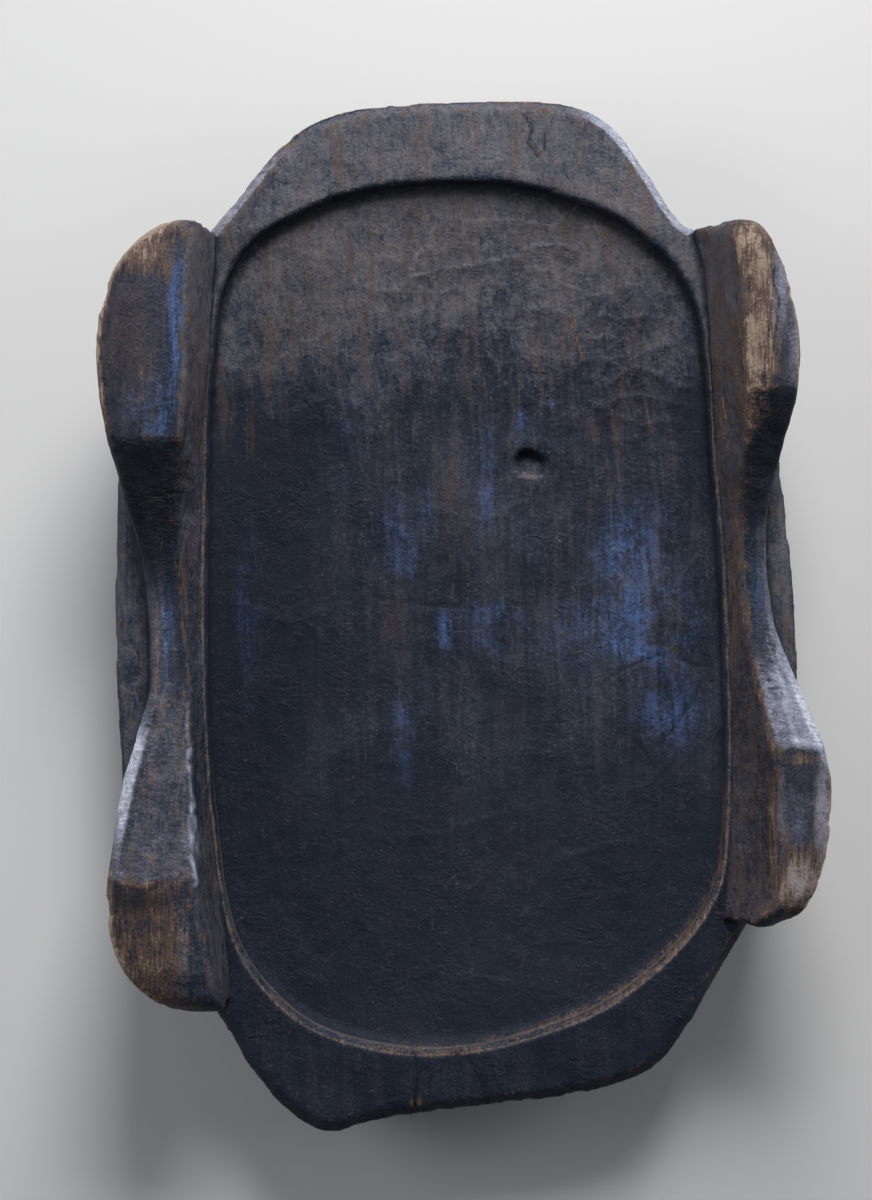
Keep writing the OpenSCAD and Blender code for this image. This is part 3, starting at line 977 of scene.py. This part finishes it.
class Wood(Shader):
    """Blackened wood, with painted light, shade and sheen in its colour. The painted fields say where, and
    the patterns how, its colour changes.
    """

    def __init__(self, name):
        super().__init__(name)
        self.wear, self.ashy_highlight, self.dark_and_shade, self.dust_and_light, self.deep, self.painted_sheen, self.red, self.rim = (
            self.field(f) for f in ("wear", "ashy_highlight", "dark_and_shade", "dust_and_light", "deep", "painted_sheen", "red", "rim"))
        self.y = self.along("Y", self.place)
        self.add_patterns()
        self.lines = self.scratches()
        self.pits = self.step(self.total((self.speck, 1), (self.crumb, 0.4)), 0.82, 0.92)
        roughness = self.total((self.texture, 0.30), (self.dark_and_shade, 0.15), (self.painted_sheen, -0.10))
        shader = self.end(self.colour(), self.math("ADD", roughness, 0.38), SHEEN)
        self.feed(shader.inputs["Specular Tint"], SHEEN_TINT)
        self.feed(shader.inputs["Normal"], self.relief())

    def add_patterns(self):
        """The wood's own patterns, from 0 to 1 with a mean of about 0.5 where no comment says otherwise."""
        self.grain = self.noise(1, 4, self.turned(0, (1.4, 15, 1.4)), 0.65, 0.9)
        self.streak = self.noise(1, 4, self.turned(2, (5, 55, 5)), 0.6, 0.5)
        self.brush = self.noise(1, 4, self.turned(8, (2.4, 9, 2.4)), 0.62, 0.6)
        self.cloud = self.noise(48, 5, warp=0.8)
        self.mottle = self.noise(7, 6, rough=0.68, warp=0.3)
        self.crumb = self.noise(1.6, 4, rough=0.75)
        self.speck = self.noise(0.9, 2)
        self.texture = self.total((self.crumb, 0.66), (self.grain, 0.18), (self.mottle, 0.16))
        # around 0: patches of grains, and grains drawn out along the fibres
        self.uneven = self.total((self.mottle, 1.1), (self.texture, 2.4), middle=0.5)
        self.streaky = self.total((self.grain, 1.9), (self.mottle, 0.5), (self.crumb, 0.9), middle=0.5)
        # a leathery relief that comes and goes, often 0
        leather = self.noise(1, 3, self.turned(-12, (7.5, 4.6, 5)), 0.5, 1.4)
        leathery = self.step(self.noise(1, 2, self.turned(30, (26, 34, 30)), 0.5), 0.42, 0.62)
        self.leather = self.product(leather, leathery)
        # on slopes that face the head or the foot the fibres are cut across: fine ribs, around 0
        normal = self.add("ShaderNodeNewGeometry").outputs["Normal"]
        end_grain = self.step(self.math("ABSOLUTE", self.along("Y", normal)), 0.12, 0.30)
        ribs = self.noise(1, 3, self.turned(-8, (9, 1.5, 1.5)), 0.6, 0.8)
        self.ribs = self.product(self.math("SUBTRACT", ribs, 0.5), end_grain)

    def scratches(self):
        """Hairlines in several directions, broken up so that they come in groups.

        Each direction is also shifted by its own amount, so that no two have their groups in one place.
        """
        found = 0.0
        for turn, width, length, strength in SCRATCHES:
            hairs = self.noise(1, 2.0, self.turned(turn, (width, length, 40), turn), 0.5, 0.15)
            groups = self.noise(1, 2.0, self.turned(turn, (17, 21, 40), 3 * turn))
            hairs = self.product(self.step(hairs, 0.66, 0.72), self.step(groups, 0.52, 0.64), strength)
            found = self.math("MAXIMUM", hairs, found)
        return found

    def colour(self):
        colour = self.patina()
        for change in (self.dusted_and_lit, self.with_painted_sheen, self.worn, self.highlighted, self.rimmed):
            colour = change(colour)
        colour = self.mix(self.product(self.dark_and_shade, 0.80), colour, BLACK)
        colour = self.mix(self.product(self.lines, 0.46), colour, DUST)
        flecks = self.product(self.step(self.crumb, 0.56, 0.70), self.step(self.mottle, 0.48, 0.60), 0.30)
        colour = self.mix(flecks, colour, FLECK)
        return self.mix(self.product(self.pits, 0.8), colour, BLACK)

    def patina(self):
        tone = self.total((self.cloud, 0.30), (self.texture, 0.50), (self.streak, 0.20), (self.ribs, 0.30))
        colour = self.mix(self.step(tone, 0.43, 0.54), DEEP, PATINA)
        colour = self.mix(self.step(tone, 0.51, 0.62), colour, SLATE)
        stain = self.total((self.step(self.streak, 0.50, 0.66), 0.30), (self.red, 1))
        colour = self.mix(self.product(stain, self.step(self.texture, 0.36, 0.56)), colour, UMBER)
        # the deep field: painted shade towards the foot end and down the left side, and darker patina
        return self.mix(self.product(self.deep, 0.88), colour, DEEP)

    def dusted_and_lit(self, colour):
        """Dusty, and paler where light is painted in, with rusty streaks."""
        dusty = self.total((self.cloud, 0.68), (self.brush, 0.9), middle=0.5)
        dusty = self.total((dusty, 1), (self.uneven, 0.68), (self.dust_and_light, 1))
        dusty = self.product(dusty, self.step(self.dust_and_light, 0.0, 0.25))
        colour = self.mix(self.step(dusty, 0.28, 1.20), colour, SLATE)
        colour = self.mix(self.step(dusty, 0.50, 1.70), colour, DUST)
        rust = self.product(self.step(self.streak, 0.50, 0.66), self.step(self.dust_and_light, 0.10, 0.50), 0.50)
        return self.mix(rust, colour, BROWN)

    def with_painted_sheen(self, colour):
        # mixes in the painted sheen
        brushed = self.total((self.streak, 0.35), (self.texture, 0.65))
        return self.mix(self.product(self.painted_sheen, self.step(brushed, 0.40, 0.62)), colour, SHEEN_BLUE)

    def worn(self, colour):
        """Through brown and tan to the palest wood, for wear and for painted highlight."""
        worn = self.total((self.wear, 1), (self.streaky, 1))
        worn = self.product(worn, self.step(self.wear, 0.02, 0.20))
        colour = self.mix(self.step(worn, 0.10, 0.45), colour, BROWN)
        colour = self.mix(self.step(worn, 0.45, 1.00), colour, TAN)
        return self.mix(self.step(worn, 1.05, 1.60), colour, PALE)

    def highlighted(self, colour):
        pattern = self.total((self.uneven, 0.55), (self.ribs, 0.88))
        pattern = self.product(pattern, self.step(self.ashy_highlight, 0.02, 0.40))
        highlight_amount = self.math("ADD", self.ashy_highlight, pattern)
        colour = self.mix(self.step(highlight_amount, 0.0, 1.05), colour, ASHY_HIGHLIGHT)
        return self.mix(self.step(highlight_amount, 0.86, 1.20), colour, BRIGHT_HIGHLIGHT)

    def rimmed(self, colour):
        """A thin pale line just outside the hollow's rim, partly wear and partly painted highlight on the
        rim's edge, and a faint painted highlight inside it on the foot-end step, which faces the light.
        """
        outer = self.product(self.step(self.gap(self.rim, 0.53), 0.022, 0.008),
                             self.step(self.texture, 0.36, 0.60),
                             self.step(self.y, 165 * MM, 120 * MM), 0.42)
        inner = self.product(self.step(self.gap(self.rim, 0.455), 0.020, 0.006),
                             self.step(self.y, -50 * MM, -120 * MM), 0.26)
        return self.mix(inner, self.mix(outer, colour, TAN), FLECK)

    def relief(self):
        height = self.total((self.grain, 0.50), (self.mottle, 0.60), (self.crumb, 0.52), (self.leather, 0.80),
                            (self.brush, 0.45), (self.ribs, 0.90), (self.speck, 0.15), (self.lines, -0.30),
                            (self.pits, -0.35))
        bump = self.add("ShaderNodeBump")
        self.feed(bump.inputs["Strength"], BUMP_STRENGTH)
        self.feed(bump.inputs["Distance"], BUMP_DEPTH)
        self.feed(bump.inputs["Height"], height)
        return bump.outputs["Normal"]


# ---------------------------------------------------------------- floor and light

FLOOR_SIZE = 8
FLOOR_GREY = (0.66, 0.66, 0.655)
MIDDLE = (0, 0, 0.04)
COOL = (0.90, 0.94, 1.0)

# Name, place, where it points, size, spread (degrees), power and colour.
LAMPS = [
    ("key", (0.16, 1.40, 0.88), (0, 0.05, 0.04), 0.75, 80, 7.8, (1.0, 0.98, 0.97)),
    ("left_fill", (-1.1, 0.25, 0.50), MIDDLE, 0.7, 180, 6, COOL),
    ("right_fill", (1.1, 0.25, 0.50), MIDDLE, 0.7, 180, 3.6, COOL),
]
SKY_COLOUR = (0.85, 0.90, 1.0, 1)
SKY_STRENGTH = 0.10


def add_floor():
    half = FLOOR_SIZE / 2
    mesh = bpy.data.meshes.new("floor")
    corners = [(-half, -half, 0), (half, -half, 0), (half, half, 0), (-half, half, 0)]
    mesh.from_pydata(corners, [], [(0, 1, 2, 3)])
    floor = new_object("floor", mesh)
    grey = Shader("floor")
    grey.end(FLOOR_GREY, 0.9, 0.0)
    mesh.materials.append(grey.material)


def add_lamps():
    for name, place, aim, size, spread, watts, colour in LAMPS:
        data = bpy.data.lights.new(name, "AREA")
        data.energy = watts
        data.size = size
        data.spread = math.radians(spread)
        data.color = colour
        lamp = bpy.data.objects.new(name, data)
        lamp.location = place
        lamp.rotation_euler = (Vector(aim) - Vector(place)).to_track_quat("-Z", "Y").to_euler()
        bpy.context.collection.objects.link(lamp)


def add_sky():
    world = bpy.data.worlds.new("studio")
    bpy.context.scene.world = world
    world.use_nodes = True
    background = world.node_tree.nodes["Background"]
    background.inputs["Color"].default_value = SKY_COLOUR
    background.inputs["Strength"].default_value = SKY_STRENGTH


# ---------------------------------------------------------------- the bowl

def add_bowl():
    block = Surface(joined_block())
    block.smooth(2)
    zone = Regions(block)
    carve(block, zone)
    finish = Finish(block, Paint(block, zone).fields())
    wood = Wood("blackened_wood").material
    for node, piece in divided(block.mesh).items():
        finish.dress(piece)
        piece.name = f"{node}_wood"
        piece.data.materials.clear()
        piece.data.materials.append(wood)
        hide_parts(node)
        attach(piece, "root")


bpy.context.scene.view_settings.view_transform = "Standard"
add_bowl()
add_floor()
add_lamps()
add_sky()
